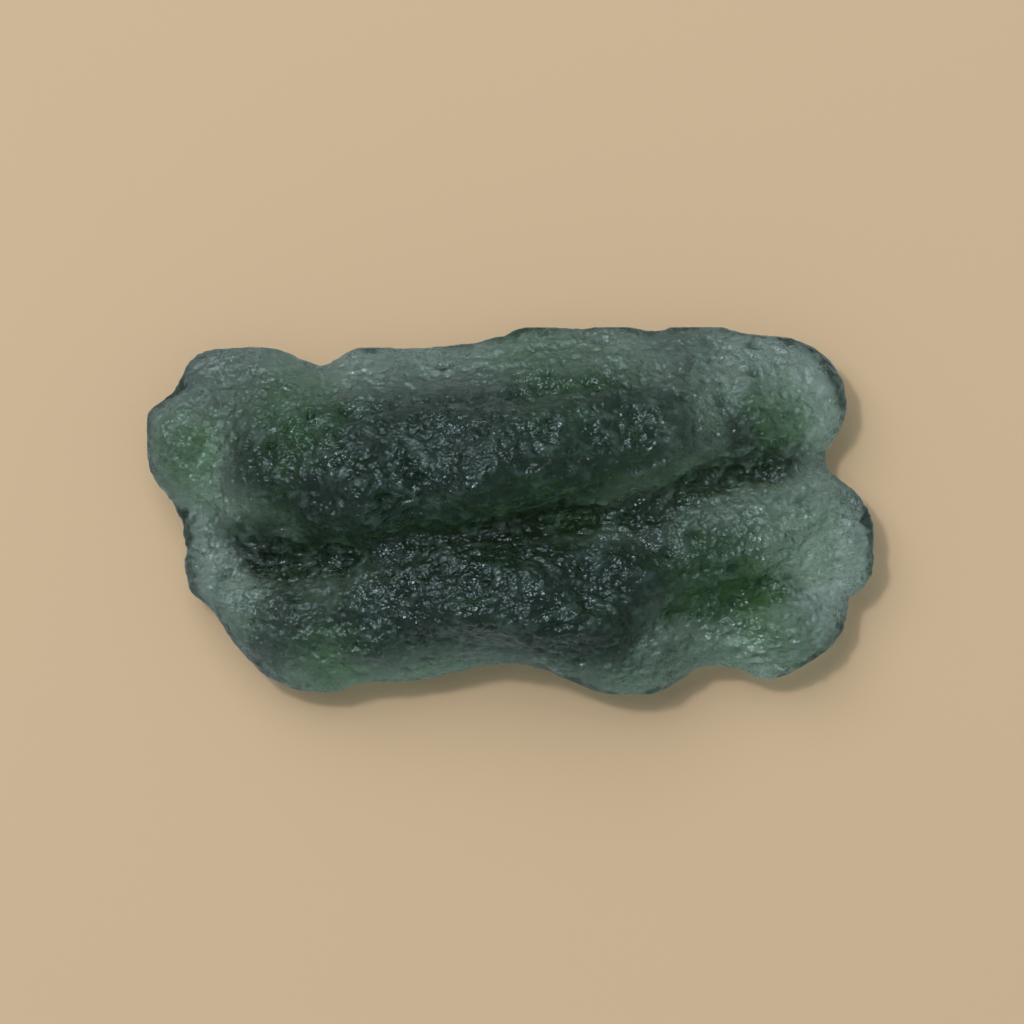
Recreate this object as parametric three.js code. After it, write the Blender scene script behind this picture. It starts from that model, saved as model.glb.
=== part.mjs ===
// A raw moldavite: one piece of natural green glass, long and flat, with a lobed outline.
// Two ridges run its length with a groove between them, a thinner shelf lies along one long
// side, and the whole skin is etched into shallow pits that lie along the grooves.
// Millimetres, +Z up. The stone lies on its flatter side, its length along X, and the origin
// is the centre of its box on the surface that it rests on.
// The form is a field, below 0 in the glass and above 0 outside it, and the skin is drawn
// where the field is 0.

import * as THREE from 'three';
import { ImprovedNoise } from 'three/addons/math/ImprovedNoise.js';

// Driving dimensions
const LENGTH = 32; // overall, along X
const SHELF_HEIGHT = 3.1; // top of the thin glass beside the ridges
const STEEPNESS = 2.6; // 2 gives a ridge bell-shaped sides, and more gives it steeper ones
const TALLEST = 11; // more than the ridges reach, and so the top of the grid
const UNDER_DEPTH = 0.5; // how far the underside would bulge below the table before it is worn flat
const TOP_ROUNDING = 2.3; // how far in from the outline the top begins to turn down
const UNDER_ROUNDING = 1.9; // the same for the underside
const CELL = 0.62; // spacing of the grid that the skin is drawn from

// The outline as seen from above, clockwise from the left end. A smooth curve joins the points.
const OUTLINE = [
  [-16.0, 3.0], [-15.8, 4.4], [-15.0, 4.9], [-14.5, 5.4], [-14.0, 6.7], [-13.2, 7.0], [-11.6, 7.1],
  [-10.2, 7.0], [-8.3, 6.2], [-7.8, 6.4], [-7.2, 6.9], [-6.2, 7.1], [-4.4, 7.0], [-2.2, 7.2],
  [-0.3, 7.6], [0.7, 8.0], [2.1, 7.9], [4.8, 8.1], [6.4, 7.8], [7.2, 8.1], [9.2, 8.0],
  [9.9, 7.7], [11.7, 7.6], [12.8, 7.4], [13.9, 6.6], [14.5, 5.6], [14.6, 4.4], [14.3, 3.4],
  [13.8, 2.7], [13.8, 2.0], [14.3, 1.3], [15.3, 0.7], [15.7, -0.1], [15.9, -1.3], [16.0, -2.4],
  [15.7, -3.1], [14.9, -4.0], [14.5, -5.2], [13.7, -6.1], [11.9, -7.2], [11.2, -7.4], [10.0, -6.9],
  [9.0, -6.7], [8.1, -6.8], [6.8, -7.7], [5.6, -8.1], [4.2, -7.9], [2.7, -7.4], [1.4, -6.8],
  [0.2, -6.6], [-1.3, -6.7], [-3.1, -7.2], [-5.3, -7.4], [-6.6, -7.5], [-8.1, -7.9], [-10.2, -7.5],
  [-11.3, -6.5], [-12.1, -5.6], [-13.0, -4.2], [-13.9, -3.6], [-14.2, -2.7], [-14.2, -1.5],
  [-14.4, -0.6], [-14.8, 0.4], [-15.6, 1.5],
];

// Crest lines of the top, each point as x, y, rise above the thin glass beside it and width
const RIDGES = [
  [ // the main ridge, which bends towards the top lobe of the right end
    [-13.4, 3.4, 1.0, 2.6], [-10.4, 2.3, 2.9, 3.0], [-6.6, 1.7, 4.1, 3.2], [-1.8, 2.1, 4.5, 3.2],
    [3.0, 2.9, 4.0, 3.1], [7.4, 4.1, 2.9, 2.8], [10.6, 4.9, 1.7, 2.4], [13.2, 4.9, 0.6, 1.9],
  ],
  [ // the lower ridge, which ends in the lower lobe of the right end
    [-12.3, -4.2, 1.4, 2.2], [-8.6, -4.5, 2.6, 2.5], [-4.2, -3.9, 3.2, 2.6], [1.2, -3.3, 3.2, 2.6],
    [5.6, -2.6, 2.7, 2.4], [8.6, -1.2, 2.0, 2.2], [12.0, -0.4, 1.2, 2.2], [14.2, -1.1, 0.5, 1.7],
  ],
  [ // a short swelling along the bottom edge, right of the middle
    [1.2, -5.7, 1.3, 1.5], [4.4, -6.1, 1.8, 1.7], [6.6, -5.9, 1.2, 1.5],
  ],
  [ // the small lobe at the bottom right
    [9.6, -5.6, 0.5, 1.4], [12.4, -5.5, 0.8, 1.7],
  ],
];

// Valleys of the top, each point as x, y, depth and half width
const GROOVES = [
  [ // the long groove between the two ridges, which runs out in the notch of the right end
    [-14.4, -3.0, 0.3, 1.2], [-11.6, -3.0, 0.7, 1.6], [-6.9, -2.2, 1.1, 2.0], [-4.0, -1.7, 1.0, 2.0],
    [-1.0, -1.1, 1.2, 2.0], [2.0, -0.4, 1.2, 2.0], [5.0, -0.5, 1.0, 2.0], [8.0, 0.8, 0.9, 1.8],
    [11.4, 2.1, 0.8, 1.6], [13.9, 2.4, 0.4, 1.2],
  ],
  [ // the groove that parts the two lower lobes of the right end
    [14.8, -4.0, 0.2, 1.1], [12.6, -3.8, 0.4, 1.4], [9.6, -3.7, 0.9, 1.8], [7.4, -4.2, 0.9, 1.6],
    [5.6, -5.0, 0.5, 1.3],
  ],
  [ // a crease across the left end
    [-11.9, 6.6, 0.3, 1.3], [-12.4, 4.4, 0.5, 1.6], [-12.9, 1.2, 0.6, 1.6], [-13.2, -1.6, 0.3, 1.3],
  ],
  [ // a crease up the main ridge, from the top edge
    [5.9, 7.4, 0.3, 1.2], [6.3, 5.8, 0.7, 1.5], [5.2, 4.2, 0.4, 1.3],
  ],
];

// The underside rises away from its middle, by lift at reach along X and along Y
const UNDERSIDE = { middle: [-0.8, -0.4], reach: [15, 7.5], lift: [0.9, 0.7], power: 2.4 };
const HOLLOW = { middle: [6.5, 2.5], reach: [3, 2], depth: 0.7 };

// The skin's relief
const LUMP = { size: 3.6, stretch: 1.5, height: 0.8 };
const FLOW = { size: 1.7, stretch: 4.2, height: 0.35 };
const FLOW_TILT = 0.09; // radians by which the flow lines rise towards the right end
const PITS = { count: 170, radius: [1.3, 2.8], stretch: 1.5, depth: 0.42, spacing: 0.62, seed: 2028 };
const RIM_RELIEF = 0.05; // share of the relief that is left on the outline
const RIM_BAND = 2.8; // how far in from the outline the relief is weaker

const noise = new ImprovedNoise();
const { clamp, lerp, smoothstep } = THREE.MathUtils;

// A repeatable source of numbers from 0 to 1
function randomFrom(seed) {
  let state = seed;
  return () => {
    state = (state + 0x6D2B79F5) | 0;
    let mixed = Math.imul(state ^ (state >>> 15), 1 | state);
    mixed = (mixed + Math.imul(mixed ^ (mixed >>> 7), 61 | mixed)) ^ mixed;
    return ((mixed ^ (mixed >>> 14)) >>> 0) / 4294967296;
  };
}

const outlineCurve = new THREE.CatmullRomCurve3(
  OUTLINE.map(([x, y]) => new THREE.Vector3(x, y, 0)), true, 'centripetal');
const outlinePoints = outlineCurve.getPoints(OUTLINE.length * 3);

// How far a place is from the outline as seen from above: below 0 inside it
function outlineDistance(x, y) {
  let nearest = Infinity;
  let inside = false;
  for (let i = 0; i + 1 < outlinePoints.length; i++) {
    const a = outlinePoints[i];
    const b = outlinePoints[i + 1];
    const along = ((x - a.x) * (b.x - a.x) + (y - a.y) * (b.y - a.y)) / a.distanceToSquared(b);
    const t = clamp(along, 0, 1);
    nearest = Math.min(nearest, Math.hypot(x - lerp(a.x, b.x, t), y - lerp(a.y, b.y, t)));
    if ((a.y > y) !== (b.y > y) && x < lerp(a.x, b.x, (y - a.y) / (b.y - a.y))) inside = !inside;
  }
  return inside ? -nearest : nearest;
}

// The place of a line of [x, y, ...values] points nearest to (x, y): its distance and values there
function nearestOn(line, x, y) {
  let best = { distance: Infinity };
  for (let i = 0; i + 1 < line.length; i++) {
    const [ax, ay] = line[i];
    const [bx, by] = line[i + 1];
    const along = ((x - ax) * (bx - ax) + (y - ay) * (by - ay)) / ((bx - ax) ** 2 + (by - ay) ** 2);
    const t = clamp(along, 0, 1);
    const distance = Math.hypot(x - lerp(ax, bx, t), y - lerp(ay, by, t));
    if (distance < best.distance) best = { distance, i, t };
  }
  const to = line[best.i + 1].slice(2);
  const values = line[best.i].slice(2).map((value, k) => lerp(value, to[k], best.t));
  return { distance: best.distance, values };
}

// The height of the top above the table, away from the rounded edge
function topHeight(x, y) {
  let height = SHELF_HEIGHT;
  for (const ridge of RIDGES) {
    const { distance, values: [rise, width] } = nearestOn(ridge, x, y);
    height += rise * Math.exp(-((distance / width) ** STEEPNESS));
  }
  for (const groove of GROOVES) {
    const { distance, values: [depth, half] } = nearestOn(groove, x, y);
    height -= depth * (1 - smoothstep(distance / half, 0, 1));
  }
  return height;
}

// The height of the underside, away from the rounded edge
function underHeight(x, y) {
  const sides = ({ middle, reach }) => [x, y].map((at, k) => Math.abs((at - middle[k]) / reach[k]));
  const [lengthways, crossways] = sides(UNDERSIDE)
    .map((share, k) => UNDERSIDE.lift[k] * share ** UNDERSIDE.power);
  const hollow = HOLLOW.depth * Math.exp(-(Math.hypot(...sides(HOLLOW)) ** 2));
  return lengthways + crossways + hollow - UNDER_DEPTH;
}

// The larger of two numbers, rounded off where they are alike
function roundedMax(a, b, rounding) {
  const blend = Math.max(1 - Math.abs(a - b) / rounding, 0);
  return Math.max(a, b) + blend * blend * rounding / 4;
}

// What a rounding takes off the outline where the glass is this thick, so that it can be given back
function roundingLoss(thickness, rounding) {
  const blend = Math.max(1 - thickness / 2 / rounding, 0);
  return blend * blend * rounding / 4;
}

// The field of the stone before its skin is etched
function smoothStone({ x, y, z }) {
  const top = topHeight(x, y);
  const bottom = underHeight(x, y);
  const above = z - top;
  const below = bottom - z;
  const given = roundingLoss(top - bottom, TOP_ROUNDING) + roundingLoss(top - bottom, UNDER_ROUNDING);
  const beside = outlineDistance(x, y) - given;
  return roundedMax(roundedMax(above, beside, TOP_ROUNDING), below, UNDER_ROUNDING);
}

// Turns a place on the stone into one where the flow lines lie along X and are as short as their width
function alongFlow(point, stretch) {
  const flat = point.clone().applyAxisAngle(new THREE.Vector3(0, 0, 1), -FLOW_TILT);
  flat.x /= stretch;
  return flat;
}

// How far the glass bulges at a place: broad lumps, and narrower ridges along the flow
function bulgeAt(point) {
  const lump = alongFlow(point, LUMP.stretch).divideScalar(LUMP.size);
  const flow = alongFlow(point, FLOW.stretch).divideScalar(FLOW.size);
  return LUMP.height * noise.noise(lump.x, lump.y, lump.z)
    + FLOW.height * (0.4 - Math.abs(noise.noise(flow.x + 9, flow.y, flow.z)) * 2);
}

// Scatters pits over the skin, more small ones than large, and none centred inside another
function scatterPits(points) {
  const random = randomFrom(PITS.seed);
  const pits = [];
  const tries = 6000;
  for (let i = 0; i < tries && pits.length < PITS.count; i++) {
    const centre = alongFlow(points[Math.floor(random() * points.length)], PITS.stretch);
    const radius = lerp(...PITS.radius, random() ** 1.6);
    const depth = PITS.depth * radius * lerp(0.7, 1.25, random());
    const apart = (pit) => pit.centre.distanceTo(centre) > PITS.spacing * (pit.radius + radius);
    if (pits.every(apart)) pits.push({ centre, radius, depth });
  }
  return pits;
}

// How deep the pits are at a place: a shallow bowl each, with a sharp edge where two meet
function pitDepthAt(point, pits) {
  const place = alongFlow(point, PITS.stretch);
  return pits.reduce((deepest, { centre, radius, depth }) => {
    const share = centre.distanceToSquared(place) / (radius * radius);
    return share < 1 ? Math.max(deepest, depth * (1 - share)) : deepest;
  }, 0);
}

// The field of the stone with its lumps, flow ridges and pits
function etchedStone(point, pits) {
  const inset = -outlineDistance(point.x, point.y);
  const share = lerp(RIM_RELIEF, 1, smoothstep(inset, 0, RIM_BAND));
  return smoothStone(point) - share * (bulgeAt(point) - pitDepthAt(point, pits));
}

// The corners and edges of a grid cell, as steps from its lowest corner
const CORNERS = Array.from({ length: 8 }, (_, i) => [i & 1, (i >> 1) & 1, (i >> 2) & 1]);
const EDGES = [0, 1, 2].flatMap((axis) => CORNERS.filter((corner) => !corner[axis])
  .map((corner) => [corner, corner.map((step, k) => (k === axis ? 1 : step))]));

// Draws a closed skin where the field is 0, with a vertex in each cell of the grid that it crosses
function skinOf(field, box) {
  const counts = box.getSize(new THREE.Vector3()).toArray().map((side) => Math.ceil(side / CELL) + 1);
  const key = ([i, j, k]) => i + counts[0] * (j + counts[1] * k);
  const add = (a, b, factor = 1) => a.map((value, axis) => value + factor * b[axis]);
  const place = (at) => new THREE.Vector3(...at).multiplyScalar(CELL).add(box.min);
  const nodes = [];
  for (let k = 0; k < counts[2]; k++) {
    for (let j = 0; j < counts[1]; j++) {
      for (let i = 0; i < counts[0]; i++) nodes.push([i, j, k]);
    }
  }
  const values = nodes.map((node) => field(place(node)));
  const unit = (which) => [0, 1, 2].map((axis) => (axis === which % 3 ? 1 : 0));

  // Where two sheets of the skin would touch along an edge, the value nearest to 0 changes side
  for (const node of nodes) {
    for (let axis = 0; axis < 3; axis++) {
      const [u, v] = [unit(axis + 1), unit(axis + 2)];
      const square = [node, add(node, u), add(node, v), add(add(node, u), v)];
      if (square[3].some((step, k) => step >= counts[k])) continue;
      const keys = square.map(key);
      const [a, b, c, d] = keys.map((at) => values[at] < 0);
      if (a !== d || b !== c || a === b) continue;
      const [weakest] = keys.sort((one, other) => Math.abs(values[one]) - Math.abs(values[other]));
      values[weakest] *= -1;
    }
  }

  const points = [];
  const vertexOf = new Map();
  for (const node of nodes.filter((at) => at.every((step, axis) => step + 1 < counts[axis]))) {
    const crossings = [];
    for (const edge of EDGES) {
      const [from, to] = edge.map((corner) => add(node, corner));
      const [a, b] = [values[key(from)], values[key(to)]];
      if ((a < 0) !== (b < 0)) crossings.push(place(from).lerp(place(to), a / (a - b)));
    }
    if (!crossings.length) continue;
    vertexOf.set(key(node), points.length);
    const sum = crossings.reduce((total, crossing) => total.add(crossing), new THREE.Vector3());
    points.push(sum.divideScalar(crossings.length));
  }

  const index = [];
  for (const node of nodes) {
    for (let axis = 0; axis < 3; axis++) {
      const next = add(node, unit(axis));
      if (next[axis] >= counts[axis]) continue;
      const inGlass = values[key(node)] < 0;
      if (inGlass === values[key(next)] < 0) continue;
      const [u, v] = [unit(axis + 1), unit(axis + 2)];
      const around = [node, add(node, u, -1), add(add(node, u, -1), v, -1), add(node, v, -1)]
        .map((cell) => vertexOf.get(key(cell)));
      const [a, b, c, d] = inGlass ? around : around.reverse();
      const shorter = points[a].distanceTo(points[c]) < points[b].distanceTo(points[d]);
      index.push(...(shorter ? [a, b, c, a, c, d] : [a, b, d, b, c, d]));
    }
  }
  return { points, index };
}

// Which vertices each vertex shares an edge with
function neighboursOf({ points, index }) {
  const sets = points.map(() => new Set());
  for (let i = 0; i < index.length; i += 3) {
    for (let k = 0; k < 3; k++) {
      sets[index[i + k]].add(index[i + (k + 1) % 3]).add(index[i + (k + 2) % 3]);
    }
  }
  return sets.map((set) => [...set]);
}

// Moves a point along the field's slope to where the field is 0
function ontoSkin(point, field) {
  const reach = 0.05;
  const value = field(point);
  const slope = new THREE.Vector3(...['x', 'y', 'z'].map((axis) => {
    const ahead = point.clone();
    ahead[axis] += reach;
    return (field(ahead) - value) / reach;
  }));
  const step = clamp(-value / slope.length(), -CELL / 2, CELL / 2);
  return point.clone().addScaledVector(slope.normalize(), step);
}

// Evens out a skin: each vertex goes to the middle of its neighbours, and back onto the field's 0
function evenOut(skin, field) {
  const rounds = 5;
  const neighbours = neighboursOf(skin);
  let { points } = skin;
  for (let round = 0; round < rounds; round++) {
    points = neighbours.map((around) => {
      const middle = around.reduce((sum, j) => sum.add(points[j]), new THREE.Vector3());
      return ontoSkin(middle.divideScalar(around.length), field);
    });
  }
  return { points, index: skin.index };
}

function stoneGeometry() {
  const margin = 2;
  const box = new THREE.Box3().setFromPoints(outlinePoints).expandByScalar(margin);
  box.max.z = TALLEST;
  const pits = scatterPits(skinOf(smoothStone, box).points);
  const field = (point) => etchedStone(point, pits);
  const skin = evenOut(skinOf(field, box), field);
  for (const point of skin.points) point.z = Math.max(point.z, 0);

  const geometry = new THREE.BufferGeometry().setFromPoints(skin.points);
  geometry.setIndex(skin.index);
  geometry.computeBoundingBox();
  const { min, max } = geometry.boundingBox;
  geometry.translate(-(min.x + max.x) / 2, -(min.y + max.y) / 2, -min.z);
  const size = LENGTH / (max.x - min.x);
  geometry.scale(size, size, size);
  geometry.computeVertexNormals();
  return geometry;
}

const glass = new THREE.MeshStandardMaterial({
  name: 'moldavite_glass', color: 0x2f4a3c, roughness: 0.3, metalness: 0, flatShading: true,
});

const group = new THREE.Group();
const moldavite = new THREE.Mesh(stoneGeometry(), glass);
moldavite.name = 'moldavite';
group.add(moldavite);

export default group;
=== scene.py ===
# %% [markdown]
# Raw moldavite
# Moldavite is natural glass that a meteorite's impact threw out in drops. Ground water then etched
# its skin into pits, ridges and flow lines, which is the look that this lesson builds.
# The stone is a single piece, so there is one main object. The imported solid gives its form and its
# size, and Blender adds what the solid is too coarse for: the etched skin, the glass and the light.

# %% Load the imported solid, which is the fixed frame for everything
from math import exp

import bmesh
import bpy
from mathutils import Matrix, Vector


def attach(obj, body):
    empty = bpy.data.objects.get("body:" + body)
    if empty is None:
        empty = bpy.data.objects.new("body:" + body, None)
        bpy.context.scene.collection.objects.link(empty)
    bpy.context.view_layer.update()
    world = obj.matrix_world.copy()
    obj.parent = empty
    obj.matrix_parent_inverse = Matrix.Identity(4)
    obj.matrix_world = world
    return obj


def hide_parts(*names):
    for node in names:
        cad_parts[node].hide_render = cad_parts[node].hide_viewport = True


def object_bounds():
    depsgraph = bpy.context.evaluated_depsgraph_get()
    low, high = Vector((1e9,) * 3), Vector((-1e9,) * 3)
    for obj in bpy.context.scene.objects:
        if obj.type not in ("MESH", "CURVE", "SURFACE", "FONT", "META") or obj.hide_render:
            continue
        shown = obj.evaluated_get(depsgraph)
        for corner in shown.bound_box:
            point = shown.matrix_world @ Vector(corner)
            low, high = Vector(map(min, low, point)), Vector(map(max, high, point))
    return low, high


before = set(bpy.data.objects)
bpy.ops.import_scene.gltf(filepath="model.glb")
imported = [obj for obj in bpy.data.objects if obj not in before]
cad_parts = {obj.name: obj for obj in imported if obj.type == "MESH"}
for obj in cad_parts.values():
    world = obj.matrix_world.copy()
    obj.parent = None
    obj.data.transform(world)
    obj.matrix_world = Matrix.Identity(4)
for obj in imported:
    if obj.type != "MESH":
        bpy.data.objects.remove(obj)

MM = 0.001
STONE = "moldavite"
cad_low, cad_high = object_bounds()
cad_size = cad_high - cad_low
middle = (cad_low + cad_high) / 2
print("solid in mm:", [round(side / MM, 2) for side in cad_size])

# %% [markdown]
# The camera
# The photograph looks straight down on the stone, which fills 726.9 of its 1024 pixels. A short lens
# close by would fill the image as well, but it would make the ridges lean outwards, so a long one
# stands well away. The scale comes from the stone's own length, at the height of its outline, and the
# camera stands over the same spot of the stone as in the photograph.

# %% Place the camera over the stone
PHOTO_SIDE_PX = 1024
STONE_LENGTH_PX = 726.9
STONE_CENTRE_PX = (510.45, 511.0)
CAMERA_HEIGHT = 0.40
SENSOR = 36.0
OUTLINE_HEIGHT_SHARE = 0.3
NEAREST = 0.001
FARTHEST = 10.0

metres_per_px = cad_size.x / STONE_LENGTH_PX
half_side_px = PHOTO_SIDE_PX / 2
eye = Vector((
    middle.x + (half_side_px - STONE_CENTRE_PX[0]) * metres_per_px,
    middle.y + (STONE_CENTRE_PX[1] - half_side_px) * metres_per_px,
    CAMERA_HEIGHT,
))
outline_height = OUTLINE_HEIGHT_SHARE * cad_size.z

lens = bpy.data.cameras.new("camera")
lens.sensor_width = SENSOR
lens.lens = SENSOR * (CAMERA_HEIGHT - outline_height) / (PHOTO_SIDE_PX * metres_per_px)
lens.clip_start = NEAREST
lens.clip_end = FARTHEST
camera = bpy.data.objects.new("camera", lens)
camera.location = eye
bpy.context.scene.collection.objects.link(camera)
bpy.context.scene.camera = camera
print("lens in mm:", round(lens.lens, 1))

# %% [markdown]
# A short way to write node trees
# The floor, the etching and the glass are node trees. Written out, each node takes a line to make it
# and one more for each socket. Here one call makes a node and says what feeds its sockets: a number
# is set on the socket, and another node's output is linked to it.


# %% Helpers that add nodes
def fill(tree, socket, value):
    """Sets a value on a socket, or links another node's output to it."""
    if isinstance(value, bpy.types.NodeSocket):
        tree.links.new(value, socket)
    else:
        socket.default_value = value


def add(tree, kind, feeds=None, **settings):
    """Adds a node. feeds has socket names or numbers, each with a value or an output to link."""
    node = tree.nodes.new(kind)
    for name, value in settings.items():
        setattr(node, name, value)
    for socket, value in (feeds or {}).items():
        fill(tree, node.inputs[socket], value)
    return node


def maths(tree, operation, *values):
    """The output of a Math node."""
    return add(tree, "ShaderNodeMath", dict(enumerate(values)), operation=operation).outputs[0]


def vectors(tree, operation, *values):
    """The vector that a Vector Math node gives."""
    return add(tree, "ShaderNodeVectorMath", dict(enumerate(values)), operation=operation).outputs[0]


def measured(tree, operation, first, second):
    """The number that a Vector Math node gives for two vectors, such as their distance."""
    return add(tree, "ShaderNodeVectorMath", {0: first, 1: second},
               operation=operation).outputs["Value"]


def scaled(tree, vector, factor):
    """A vector or a colour times a number."""
    return add(tree, "ShaderNodeVectorMath", {0: vector, "Scale": factor},
               operation="SCALE").outputs[0]


def part_of(tree, vector, axis):
    """The X, Y or Z of a vector, or of a colour taken as one."""
    return add(tree, "ShaderNodeSeparateXYZ", {0: vector}).outputs[axis]


def between(tree, value, low, high, to_low=0.0, to_high=1.0):
    """Turns a value from low to high into one from to_low to to_high, with soft ends."""
    return add(tree, "ShaderNodeMapRange", {"Value": value, "From Min": low, "From Max": high,
                                            "To Min": to_low, "To Max": to_high},
               interpolation_type="SMOOTHSTEP").outputs[0]


def noise(tree, place, scale, detail=2.0, roughness=0.5):
    """A Noise texture node."""
    return add(tree, "ShaderNodeTexNoise", {"Vector": place, "Scale": scale, "Detail": detail,
                                            "Roughness": roughness})


def mixed(tree, share, first, second):
    """The output of a Mix node for colours: the first at 0 and the second at 1."""
    node = add(tree, "ShaderNodeMix", data_type="RGBA")
    sockets = {socket.identifier: socket for socket in node.inputs}
    fill(tree, sockets["Factor_Float"], share)
    fill(tree, sockets["A_Color"], first)
    fill(tree, sockets["B_Color"], second)
    return next(socket for socket in node.outputs if socket.identifier == "Result_Color")


# %% [markdown]
# The floor
# Glass shows what is round it as much as itself, so the floor is part of the finish. It is plain and
# pale, a little warm. With one warm colour for every ray, the steep sides of clear glass get brown
# bands, and the photograph has none. So only rays straight from the camera see the warm colour, and
# rays that have met the glass see a neutral one.

# %% Lay the floor
FLOOR_COLOUR = (0.69, 0.472, 0.285, 1.0)
FLOOR_IN_GLASS = (0.68, 0.68, 0.68, 1.0)
FLOOR_ROUGHNESS = 0.75
FLOOR_SIDE = 1.2
FLOOR_GAP = 0.02 * MM


def floor_material():
    """Matt and of one colour when it is seen straight, and of another one in the glass."""
    material = bpy.data.materials.new("pale floor")
    material.use_nodes = True
    tree = material.node_tree
    shader = tree.nodes["Principled BSDF"]
    shader.inputs["Roughness"].default_value = FLOOR_ROUGHNESS
    straight = add(tree, "ShaderNodeLightPath").outputs["Is Camera Ray"]
    fill(tree, shader.inputs["Base Color"], mixed(tree, straight, FLOOR_IN_GLASS, FLOOR_COLOUR))
    return material


def lay_floor():
    """A square floor just under the stone: a hair's gap keeps the two surfaces from being one."""
    half = FLOOR_SIDE / 2
    corners = [(-half, -half), (half, -half), (half, half), (-half, half)]
    mesh = bpy.data.meshes.new("floor")
    mesh.from_pydata([(x, y, cad_low.z - FLOOR_GAP) for x, y in corners], [], [(0, 1, 2, 3)])
    mesh.materials.append(floor_material())
    floor = bpy.data.objects.new("floor", mesh)
    bpy.context.scene.collection.objects.link(floor)


lay_floor()
print("floor:", FLOOR_SIDE, "m wide,", round(FLOOR_GAP / MM, 2), "mm under the stone")

# %% [markdown]
# The light
# The light in the photograph is soft. It comes from all round, a little more from the upper left, and
# the shadow under the stone is weak. A picture of a real sky could give it, but an even sky and two
# lamps need no file and can be read at a glance. The cool sky gives most of the light and the blue-grey
# sheen of the skin. A wide lamp past the top left corner models the ridges, and a small one puts a
# spark on facets that happen to face it. Light that has turned six times in dark glass adds little, so
# it is followed no further, and that saves render time.

# %% Set the light
SKY_COLOUR = (0.78, 0.92, 1.0, 1.0)
SKY_STRENGTH = 0.387
KEY_COLOUR = (0.88, 0.97, 1.0)
KEY_SIDE = 0.50
KEY_PLACE = Vector((-0.19, 0.29, 0.47))
KEY_WATTS = 1.85
SPARK_COLOUR = (1.0, 1.0, 1.0)
SPARK_SIDE = 0.05
SPARK_PLACE = Vector((-0.16, 0.16, 0.50))
SPARK_WATTS = 0.75
LIGHT_BOUNCES = 6
FLOOR_BOUNCES = 2


def hang_lamp(name, place, side, watts, colour):
    """A square soft lamp that points at the stone."""
    lamp = bpy.data.lights.new(name, "AREA")
    lamp.size = side
    lamp.energy = watts
    lamp.color = colour
    holder = bpy.data.objects.new(name, lamp)
    holder.location = place
    holder.rotation_euler = (middle - place).to_track_quat("-Z", "Y").to_euler()
    bpy.context.scene.collection.objects.link(holder)


def hang_sky():
    """An even sky."""
    world = bpy.data.worlds.new("studio")
    world.use_nodes = True
    sky = world.node_tree.nodes["Background"]
    sky.inputs["Color"].default_value = SKY_COLOUR
    sky.inputs["Strength"].default_value = SKY_STRENGTH
    bpy.context.scene.world = world


hang_lamp("key lamp", KEY_PLACE, KEY_SIDE, KEY_WATTS, KEY_COLOUR)
hang_lamp("small lamp", SPARK_PLACE, SPARK_SIDE, SPARK_WATTS, SPARK_COLOUR)
hang_sky()
bpy.context.scene.view_settings.view_transform = "Standard"
bpy.context.scene.cycles.max_bounces = LIGHT_BOUNCES
bpy.context.scene.cycles.transmission_bounces = LIGHT_BOUNCES
bpy.context.scene.cycles.diffuse_bounces = FLOOR_BOUNCES
print("lamps in watts:", {lamp.name: round(lamp.energy, 2) for lamp in bpy.data.lights})

# %% [markdown]
# Pits and flow lines
# Water eats glass in round pits that widen until they meet, so the skin is a net of ridges with a bowl
# in each mesh. The pits come in several sizes, one inside the other, drawn out a little along the old
# flow lines of the melt. They could be sculpted one by one, but thousands are needed, and Voronoi
# cells have their shape: the distance to a cell's border is 0 on the ridge and grows into the bowl.
# A few deeper pits stand alone, and for them the distance from a cell's middle serves.

# %% Write pits and flow lines as nodes
FLOW_TILT = 0.09
BOWL_REACH = 0.42
CELL_SWAY_SCALE = 0.9
DIMPLE_RANDOMNESS = 0.9
DIMPLE_REACH = (0.10, 0.34)
DIMPLE_CHANCE = (0.4, 0.7)
LINE_DETAIL = 4.0
LINE_ROUGHNESS = 0.6
LINE_HALF_WIDTH = 0.12
NOISE_MIDDLE = 0.5


def flow_space(tree, place, along, across, shift=0.0):
    """Places measured in cells: turned so that X follows the flow, and scaled by the cell's size."""
    turned = add(tree, "ShaderNodeVectorRotate", {"Vector": place, "Angle": -FLOW_TILT},
                 rotation_type="Z_AXIS").outputs[0]
    moved = vectors(tree, "ADD", turned, (shift,) * 3)
    return vectors(tree, "MULTIPLY", moved, (1 / along, 1 / across, 1 / across))


def swayed(tree, place, scale, wander):
    """Places moved about by a soft noise, so that what is built on them isn't regular."""
    centred = vectors(tree, "SUBTRACT", noise(tree, place, scale).outputs["Color"],
                      (NOISE_MIDDLE,) * 3)
    return vectors(tree, "MULTIPLY_ADD", centred, (wander,) * 3, place)


def pits(tree, place, along, across, wander, shift):
    """Bowls that meet at ridges: 1 in the bowls and 0 on the net of ridges between them."""
    cells = swayed(tree, flow_space(tree, place, along, across, shift), CELL_SWAY_SCALE, wander)
    net = add(tree, "ShaderNodeTexVoronoi", {"Vector": cells, "Scale": 1.0, "Randomness": 1.0},
              feature="DISTANCE_TO_EDGE")
    return between(tree, net.outputs["Distance"], 0.0, BOWL_REACH)


def dimples(tree, place, along, across, shift):
    """Lone round pits in about half of the cells: 1 in the middle of a pit and 0 outside it."""
    cells = flow_space(tree, place, along, across, shift)
    middles = add(tree, "ShaderNodeTexVoronoi", {"Vector": cells, "Scale": 1.0,
                                                 "Randomness": DIMPLE_RANDOMNESS})
    chance = part_of(tree, middles.outputs["Color"], "X")
    hole = between(tree, middles.outputs["Distance"], *DIMPLE_REACH, 1.0, 0.0)
    return maths(tree, "MULTIPLY", hole, between(tree, chance, *DIMPLE_CHANCE))


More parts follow.
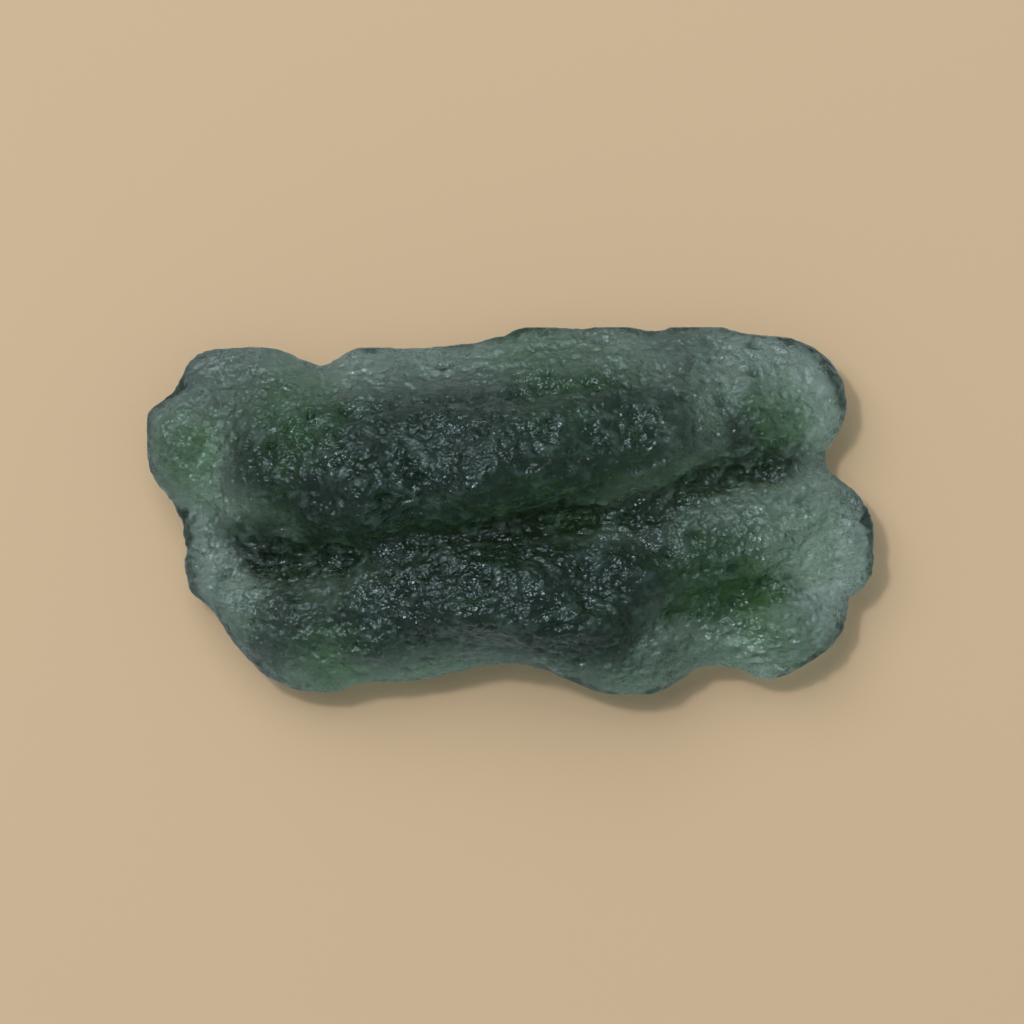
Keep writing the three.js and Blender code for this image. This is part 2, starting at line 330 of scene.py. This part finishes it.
def flow_lines(tree, place, along, across, shift):
    """Thin lines along the flow: 1 on a line and 0 beside it."""
    wave = noise(tree, flow_space(tree, place, along, across, shift), 1.0, LINE_DETAIL,
                 LINE_ROUGHNESS)
    away = maths(tree, "ABSOLUTE", maths(tree, "SUBTRACT", wave.outputs[0], NOISE_MIDDLE))
    return between(tree, away, 0.0, LINE_HALF_WIDTH, 1.0, 0.0)


# %% [markdown]
# Layers of the skin
# Sizes differ over the skin as well as in it: some patches are etched deeply and others hardly. So
# each layer has its own size of cell and its own depth, the layers are added up, and a slow noise makes
# the sum stronger here and weaker there. The shifts keep the layers from sharing one pattern.

# %% Add up the layers
PITS = {
    # Length and width of a cell in mm, how far it sways in cells, and its shift in mm
    "Broad pits": (2.5, 1.9, 0.9, 0.0),
    "Pits": (1.05, 0.85, 0.6, 31.0),
    "Small pits": (0.50, 0.42, 0.35, 62.0),
}
DIMPLES = (1.5, 1.2, 11.0)
FLOW_LINES = (8.0, 0.9, 7.0)
DEPTHS_MM = {
    "Broad pits": 0.14,
    "Pits": 0.15,
    "Small pits": 0.10,
    "Dimples": 0.22,
    "Flow lines": 0.06,
}
PATCH_SCALE = 0.2
PATCH_STRENGTH = (0.7, 1.2)
NOISE_RANGE = (0.35, 0.65)


def skin_layers(tree, place):
    """The shapes that water etched, each from 0 to 1."""
    layers = {name: pits(tree, place, *cell) for name, cell in PITS.items()}
    layers["Dimples"] = dimples(tree, place, *DIMPLES)
    layers["Flow lines"] = flow_lines(tree, place, *FLOW_LINES)
    return layers


def etched_depth(tree, place, layers, depth_of):
    """How far in from the smooth skin a place is etched, in mm."""
    total = 0.0
    for name, shape in layers.items():
        total = maths(tree, "MULTIPLY_ADD", shape, depth_of[name], total)
    patches = noise(tree, place, PATCH_SCALE).outputs[0]
    strength = between(tree, patches, *NOISE_RANGE, *PATCH_STRENGTH)
    return maths(tree, "MULTIPLY", total, strength)


print("deepest possible etching in mm:", round(sum(DEPTHS_MM.values()) * PATCH_STRENGTH[1], 2))

# %% [markdown]
# Thick and thin glass
# Thin glass is pale and thick glass is dark, so the finish has to know how thick the stone is at each
# point. Painting that by hand would have to be done again after each change of the form. Instead two
# rays go in from each point, one square to the skin and one straight up or down, and the shorter one
# counts. A blur takes out the jumps. How hollow a place is, in a groove or on a ridge, comes from a
# wider blur of the points' own places: it is how far a point lies below the smoothed skin. The glass
# uses it to paint shade into the grooves.

# %% Measure the glass from inside the tree
RAY_LENGTH = 0.05
RAY_START = 0.05 * MM
THICKNESS_BLUR = 3
HOLLOW_BLUR = 24


def way_through(tree, mesh, place, direction):
    """How far a ray goes from each point of a mesh through the glass, in mm."""
    start = vectors(tree, "MULTIPLY_ADD", direction, (RAY_START,) * 3, place)
    ray = add(tree, "GeometryNodeRaycast", {"Target Geometry": mesh, "Source Position": start,
                                            "Ray Direction": direction, "Ray Length": RAY_LENGTH})
    return maths(tree, "DIVIDE", ray.outputs["Hit Distance"], MM)


def blurred(tree, value, rounds, data_type):
    """A value made more like that of the points round it."""
    return add(tree, "GeometryNodeBlurAttribute", {"Value": value, "Iterations": rounds},
               data_type=data_type).outputs[0]


def glass_behind(tree, mesh, place, normal):
    """How thick the glass is at each point: square to the skin or upright, whichever is less."""
    inwards = scaled(tree, normal, -1.0)
    upright = vectors(tree, "MULTIPLY", vectors(tree, "SIGN", inwards), (0.0, 0.0, 1.0))
    least = maths(tree, "MINIMUM", way_through(tree, mesh, place, inwards),
                  way_through(tree, mesh, place, upright))
    return blurred(tree, least, THICKNESS_BLUR, "FLOAT")


def hollowness(tree, place, normal):
    """How far each point lies below the smoothed skin round it, in mm: less than 0 on a ridge."""
    smoothed = blurred(tree, place, HOLLOW_BLUR, "FLOAT_VECTOR")
    away = vectors(tree, "SUBTRACT", smoothed, place)
    return maths(tree, "DIVIDE", measured(tree, "DOT_PRODUCT", away, normal), MM)


# %% [markdown]
# Marks for the glass
# The glass needs to know where the pits are. The crests between them get a painted highlight, pale
# grains that stand for glints. The bowls and lone pits get painted shade, and the flow lines are
# darker streaks in the glass. Some places are painted darker: along the groove under the main ridge
# this is painted shade, and elsewhere a deeper tone of the glass. Some are a clearer green.
# The material could work all of that out itself, but it would do so at every turn of every ray, which
# would make the render about three times as slow. So the tree works it out once, and keeps it on the
# skin.

# %% Work out the marks
CREST_HEIGHT = 1.2
CREST_RANGE = (0.5, 1.1)
GRAIN_SCALE = 1.1
GRAIN_RANGE = (0.45, 0.62)
# Painted shade in the bowls of the pits; the streaks are a darker tone of the glass.
BOWL_SHADE = 0.78
STREAK_SHADE = 0.80
STREAKS = (6.0, 0.5, 7.0)
PLACE_SWAY_SCALE = 0.5
PLACE_SWAY_MM = 3.0
PLACE_CORE = 0.3
PLACE_EDGE = 1.2
# Patches painted darker: along the groove under the main ridge this is painted shade, elsewhere a
# darker tone of the glass.
DARK_AND_SHADED_PLACES = (
    # x, y and reach in mm, and the share of the darker colour
    (10.6, 3.0, 2.8, 0.95), (6.8, 3.0, 2.2, 0.7), (-9.4, 1.6, 2.6, 0.8), (-11.0, -1.5, 1.8, 0.95),
    (-8.0, -1.8, 2.0, 0.95), (-5.2, -1.6, 1.8, 0.95), (9.2, -3.2, 2.7, 0.95),
    (-9.9, -4.9, 2.4, 0.75), (-11.9, 5.2, 2.6, 0.45), (7.9, 6.6, 1.8, 0.5),
    (12.8, -5.6, 1.8, 0.35), (-14.4, 2.4, 1.6, 0.3), (7.0, 0.0, 2.6, 0.55), (6.4, -5.6, 2.0, 0.3),
)
GREEN_PLACES = (
    # x, y and reach in mm, and the share of the clearer green
    (-14.2, 2.8, 1.8, 0.5), (-9.3, 4.1, 2.6, 0.5), (1.8, 6.1, 3.2, 0.4), (11.7, 4.2, 1.6, 0.5),
    (8.9, -3.1, 2.8, 0.5), (11.2, -4.7, 2.2, 0.5), (-8.1, -6.2, 1.8, 0.5),
)


def places(tree, place, spots):
    """Soft wandering patches that go right through the stone, where the tint changes."""
    seen = vectors(tree, "MULTIPLY", swayed(tree, place, PLACE_SWAY_SCALE, PLACE_SWAY_MM),
                   (1.0, 1.0, 0.0))
    most = 0.0
    for x, y, reach, share in spots:
        away = measured(tree, "DISTANCE", seen, (x, y, 0.0))
        patch = between(tree, away, PLACE_CORE * reach, PLACE_EDGE * reach, share, 0.0)
        most = maths(tree, "MAXIMUM", patch, most)
    return most


def crests(tree, place, layers):
    """Where the crests between the pits get a painted highlight, broken up by a noise into grains."""
    above_small = maths(tree, "SUBTRACT", 1.0, layers["Small pits"])
    above_pits = maths(tree, "SUBTRACT", CREST_HEIGHT, layers["Pits"])
    ridge = maths(tree, "MULTIPLY", above_small, above_pits)
    grains = noise(tree, place, GRAIN_SCALE).outputs[0]
    return maths(tree, "MULTIPLY", between(tree, ridge, *CREST_RANGE),
                 between(tree, grains, *GRAIN_RANGE))


def shade(tree, place, layers):
    """How much of the colour is left: less in the bowls, which is painted shade, and on fine streaks
    along the flow.
    """
    bowl = maths(tree, "MULTIPLY", layers["Small pits"], layers["Pits"])
    streak = flow_lines(tree, place, *STREAKS)
    return maths(tree, "MULTIPLY", between(tree, bowl, 0.0, 1.0, 1.0, BOWL_SHADE),
                 between(tree, streak, 0.0, 1.0, 1.0, STREAK_SHADE))


def skin_marks(tree, place, layers):
    """What the glass needs to know about each place of the skin, as shares from 0 to 1."""
    return {
        "crest": crests(tree, place, layers),
        "shade": shade(tree, place, layers),
        "hole": layers["Dimples"],
        "dark_and_shade": places(tree, place, DARK_AND_SHADED_PLACES),
        "green": places(tree, place, GREEN_PLACES),
    }


print("places of their own colour:", len(DARK_AND_SHADED_PLACES), "deep and", len(GREEN_PLACES), "green")

# %% [markdown]
# Growing the skin with Geometry Nodes
# The solid's triangles are about half a millimetre long. Two rounds of subdivision make them a tenth of
# a millimetre, small enough for the pits, and Set Position then moves each point along its normal.
# Bump alone could fake the pits, but no ridge would hide a bowl behind it when seen from the side.
# Subdivision rounds the form off and pits only take away, so the skin is swollen a little as well.
# Points near the ground are moved less, so that the stone still lies on its worn flat patches, and
# the steep sides are etched less, where water runs off and leaves a smoother rim.

# %% Build the tree that etches the solid
SIZES_MM = {"Swell": 0.2, **DEPTHS_MM}
WORN_BELOW = 0.5
STEEP_BELOW = 0.6
RIM_SHARE = 0.35


def kept_as(tree, geometry, name, value):
    """Stores a value at each point under a name, for the material to read."""
    return add(tree, "GeometryNodeStoreNamedAttribute",
               {"Geometry": geometry, "Name": name, "Value": value}, data_type="FLOAT").outputs[0]


def add_sockets(tree):
    """The named inputs and the output of the etching tree."""
    inputs = [("Stone", "Geometry"), ("Rounds", "Int")]
    inputs += [(name, "Float") for name in SIZES_MM]
    inputs += [("Material", "Material")]
    for name, kind in inputs:
        tree.interface.new_socket(name, in_out="INPUT", socket_type="NodeSocket" + kind)
    tree.interface.new_socket("Stone", in_out="OUTPUT", socket_type="NodeSocketGeometry")


def etching_tree():
    """A Geometry Nodes tree: measure, subdivide, mark, etch, shade smooth, set the material."""
    tree = bpy.data.node_groups.new("etched skin", "GeometryNodeTree")
    add_sockets(tree)
    given = add(tree, "NodeGroupInput").outputs
    place = add(tree, "GeometryNodeInputPosition").outputs[0]
    normal = add(tree, "GeometryNodeInputNormal").outputs[0]

    thickness = glass_behind(tree, given["Stone"], place, normal)
    stone = kept_as(tree, given["Stone"], "thickness", thickness)
    stone = kept_as(tree, stone, "hollow", hollowness(tree, place, normal))
    stone = add(tree, "GeometryNodeSubdivisionSurface",
                {"Mesh": stone, "Level": given["Rounds"]}).outputs[0]

    in_mm = scaled(tree, place, 1 / MM)
    layers = skin_layers(tree, in_mm)
    for name, share in skin_marks(tree, in_mm, layers).items():
        stone = kept_as(tree, stone, name, share)

    depth = etched_depth(tree, in_mm, layers, given)
    worn = between(tree, part_of(tree, in_mm, "Z"), 0.0, WORN_BELOW)
    level = maths(tree, "ABSOLUTE", part_of(tree, normal, "Z"))
    facing = between(tree, level, 0.0, STEEP_BELOW, RIM_SHARE, 1.0)
    depth = maths(tree, "MULTIPLY", depth, facing)
    stone = kept_as(tree, stone, "etched", maths(tree, "MULTIPLY", depth, worn))

    outwards = maths(tree, "MULTIPLY", maths(tree, "SUBTRACT", given["Swell"], depth), worn)
    offset = scaled(tree, normal, maths(tree, "MULTIPLY", outwards, MM))
    stone = add(tree, "GeometryNodeSetPosition", {"Geometry": stone, "Offset": offset}).outputs[0]
    stone = add(tree, "GeometryNodeSetShadeSmooth", {"Geometry": stone}).outputs[0]
    stone = add(tree, "GeometryNodeRealizeInstances", {"Geometry": stone}).outputs[0]
    stone = add(tree, "GeometryNodeSetMaterial",
                {"Geometry": stone, "Material": given["Material"]}).outputs[0]
    add(tree, "NodeGroupOutput", {0: stone})
    return tree


etching = etching_tree()
print("nodes in the etching tree:", len(etching.nodes))

# %% [markdown]
# The glass
# Moldavite is bottle green all through, and it is the way through the glass that darkens it: a thin
# rim is pale, and the thick middle is almost black. An opaque green could be painted to match one
# view, but it would look painted from any other side. So the body is plain transmission, and a plain
# Volume Absorption takes away red and blue faster than green. Absorption alone doesn't part thin from
# thick as strongly as the photograph does, so the tint of the skin also goes from pale to dark with
# the thickness that the tree measured. The marks on the skin then change the tint in their places.
# The finest grain is too small for the mesh, so bump and roughness stand for it.

# %% Make the glass
TRANSMISSION = 0.94
GLASS_IOR = 1.49
ABSORPTION_PER_MM = (0.095, 0.058, 0.11)
ABSORPTION_DENSITY = 600.0
THIN_MM = 3.35
THICK_MM = 5.0
HOLLOW_MM = (0.05, 0.5)
THIN_TINT = (0.94, 1.0, 1.0, 1.0)
THICK_TINT = (0.11, 0.155, 0.10, 1.0)
# Painted shade: the grooves and hollows are painted darker, where shade falls.
HOLLOW_SHADE_TINT = (0.08, 0.10, 0.04, 1.0)
# Partly painted shade along the groove under the main ridge, partly a darker tone of the glass.
DARK_AND_SHADE_TINT = (0.07, 0.09, 0.05, 1.0)
GREEN_TINT = (0.32, 0.60, 0.22, 1.0)
# Painted highlight: the crests between the pits are painted pale, in grains that stand for glints.
CREST_HIGHLIGHT_TINT = (0.66, 0.82, 0.80, 1.0)
CREST_HIGHLIGHT_SHARE = 0.7
# Painted shade: the lone deep pits are painted dark.
HOLE_SHADE_TINT = (0.04, 0.09, 0.05, 1.0)
HOLE_SHADE_SHARE = 0.8
SHEEN_TINT = (0.70, 0.87, 0.92, 1.0)
ROUGHNESS = (0.20, 0.36)
BLOTCH_SCALE = 0.5
GRIT_CELL_MM = (0.46, 0.38)
GRIT_DETAIL = 1.0
GRIT_ROUGHNESS = 0.5
GRIT_LACUNARITY = 2.0
GRIT_MM = 0.12


def mark(tree, name):
    """A share or a measure that the etching tree kept on the skin."""
    return add(tree, "ShaderNodeAttribute", attribute_name=name).outputs["Fac"]


def part_mark(tree, name, share):
    """A mark of which only a share counts."""
    return maths(tree, "MULTIPLY", mark(tree, name), share)


def skin_tint(tree):
    """The tint of the skin: by thickness first, and then by one mark after the other."""
    thick = between(tree, mark(tree, "thickness"), THIN_MM, THICK_MM)
    tint = mixed(tree, thick, THIN_TINT, THICK_TINT)
    # Painted shade in the grooves and hollows.
    tint = mixed(tree, between(tree, mark(tree, "hollow"), *HOLLOW_MM), tint, HOLLOW_SHADE_TINT)
    # Partly painted shade along the groove, partly a darker tone of the glass.
    tint = mixed(tree, mark(tree, "dark_and_shade"), tint, DARK_AND_SHADE_TINT)
    tint = mixed(tree, mark(tree, "green"), tint, GREEN_TINT)
    # Painted shade in the bowls, and darker flow streaks in the glass.
    tint = scaled(tree, tint, mark(tree, "shade"))
    # Painted highlight on the crests.
    tint = mixed(tree, part_mark(tree, "crest", CREST_HIGHLIGHT_SHARE), tint, CREST_HIGHLIGHT_TINT)
    # Painted shade in the lone pits.
    return mixed(tree, part_mark(tree, "hole", HOLE_SHADE_SHARE), tint, HOLE_SHADE_TINT)


def fine_grit(tree, place):
    """The bump of the finest pits."""
    cells = add(tree, "ShaderNodeTexVoronoi",
                {"Vector": flow_space(tree, place, *GRIT_CELL_MM), "Scale": 1.0,
                 "Randomness": 1.0, "Detail": GRIT_DETAIL, "Roughness": GRIT_ROUGHNESS,
                 "Lacunarity": GRIT_LACUNARITY})
    return add(tree, "ShaderNodeBump", {"Height": cells.outputs["Distance"], "Strength": 1.0,
                                        "Distance": GRIT_MM * MM}).outputs[0]


def absorption(tree):
    """A volume that absorbs red, green and blue by their coefficients per millimetre."""
    kept = [1 - per_mm / MM / ABSORPTION_DENSITY for per_mm in ABSORPTION_PER_MM]
    return add(tree, "ShaderNodeVolumeAbsorption",
               {"Density": ABSORPTION_DENSITY, "Color": (*kept, 1.0)}).outputs[0]


def moldavite_glass():
    """Green see-through glass with a finely etched skin."""
    material = bpy.data.materials.new("moldavite glass")
    material.use_nodes = True
    tree = material.node_tree
    shader = tree.nodes["Principled BSDF"].inputs
    place = add(tree, "ShaderNodeTexCoord").outputs["Object"]
    in_mm = scaled(tree, place, 1 / MM)
    blotches = noise(tree, in_mm, BLOTCH_SCALE).outputs[0]
    fill(tree, shader["Transmission Weight"], TRANSMISSION)
    fill(tree, shader["IOR"], GLASS_IOR)
    fill(tree, shader["Specular Tint"], SHEEN_TINT)
    fill(tree, shader["Normal"], fine_grit(tree, in_mm))
    fill(tree, shader["Roughness"], between(tree, blotches, *NOISE_RANGE, *ROUGHNESS))
    fill(tree, shader["Base Color"], skin_tint(tree))
    fill(tree, tree.nodes["Material Output"].inputs["Volume"], absorption(tree))
    return material


glass = moldavite_glass()
for depth in (1, 5):
    left = [round(exp(-per_mm * depth), 2) for per_mm in ABSORPTION_PER_MM]
    print("red, green and blue left after", depth, "mm of glass:", left)

# %% [markdown]
# The stone
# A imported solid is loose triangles, so its copy is merged before anything else. The etching runs as
# a modifier, and its result is read back as a plain mesh, because every tool that takes the stone
# on from here needs a mesh and not a tree. A modifier could stay and keep the pits easy to change,
# but it would be lost on the way out.

# %% Dress the solid
ROUNDS = 2
MERGE_DISTANCE = 0.002 * MM


def merged_copy(node):
    """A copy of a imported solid's mesh with its triangles joined along their edges."""
    shape = bmesh.new()
    shape.from_mesh(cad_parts[node].data)
    bmesh.ops.remove_doubles(shape, verts=shape.verts, dist=MERGE_DISTANCE)
    mesh = bpy.data.meshes.new("stone")
    shape.to_mesh(mesh)
    shape.free()
    mesh.materials.clear()
    return mesh


def set_inputs(modifier, values):
    """Sets a modifier's inputs, which go by the identifiers of the tree's sockets."""
    for item in modifier.node_group.interface.items_tree:
        if item.in_out == "INPUT" and item.name in values:
            modifier[item.identifier] = values[item.name]


def etched_stone(tree, material):
    """The stone as one plain mesh."""
    rough = bpy.data.objects.new("stone before etching", merged_copy(STONE))
    bpy.context.scene.collection.objects.link(rough)
    modifier = rough.modifiers.new("etching", "NODES")
    modifier.node_group = tree
    set_inputs(modifier, {"Rounds": ROUNDS, "Material": material, **SIZES_MM})
    ready = rough.evaluated_get(bpy.context.evaluated_depsgraph_get())
    mesh = bpy.data.meshes.new_from_object(ready)
    mesh.name = "moldavite_stone"
    bpy.data.objects.remove(rough)
    stone = bpy.data.objects.new("moldavite_stone", mesh)
    bpy.context.scene.collection.objects.link(stone)
    return stone


def hold_inside(mesh, low, high):
    """Moves points that the swelling pushed out of the solid's box back onto it."""
    for vertex in mesh.vertices:
        vertex.co = [min(max(at, least), most) for at, least, most in zip(vertex.co, low, high)]


stone = etched_stone(etching, glass)
hold_inside(stone.data, cad_low, cad_high)
print("triangles:", sum(len(face.vertices) - 2 for face in stone.data.polygons))

# %% Look at what the tree measured
SHARES = (0, 0.1, 0.5, 0.9, 1)

for name in ("thickness", "hollow", "etched"):
    values = sorted(item.value for item in stone.data.attributes[name].data)
    steps = [round(values[int(share * (len(values) - 1))], 2) for share in SHARES]
    print(name, "in mm, from the least to the most:", steps)

# %% Say what the stone is to the frame
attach(stone, "root")
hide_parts(STONE)

# %% Update the scene
bpy.context.view_layer.update()
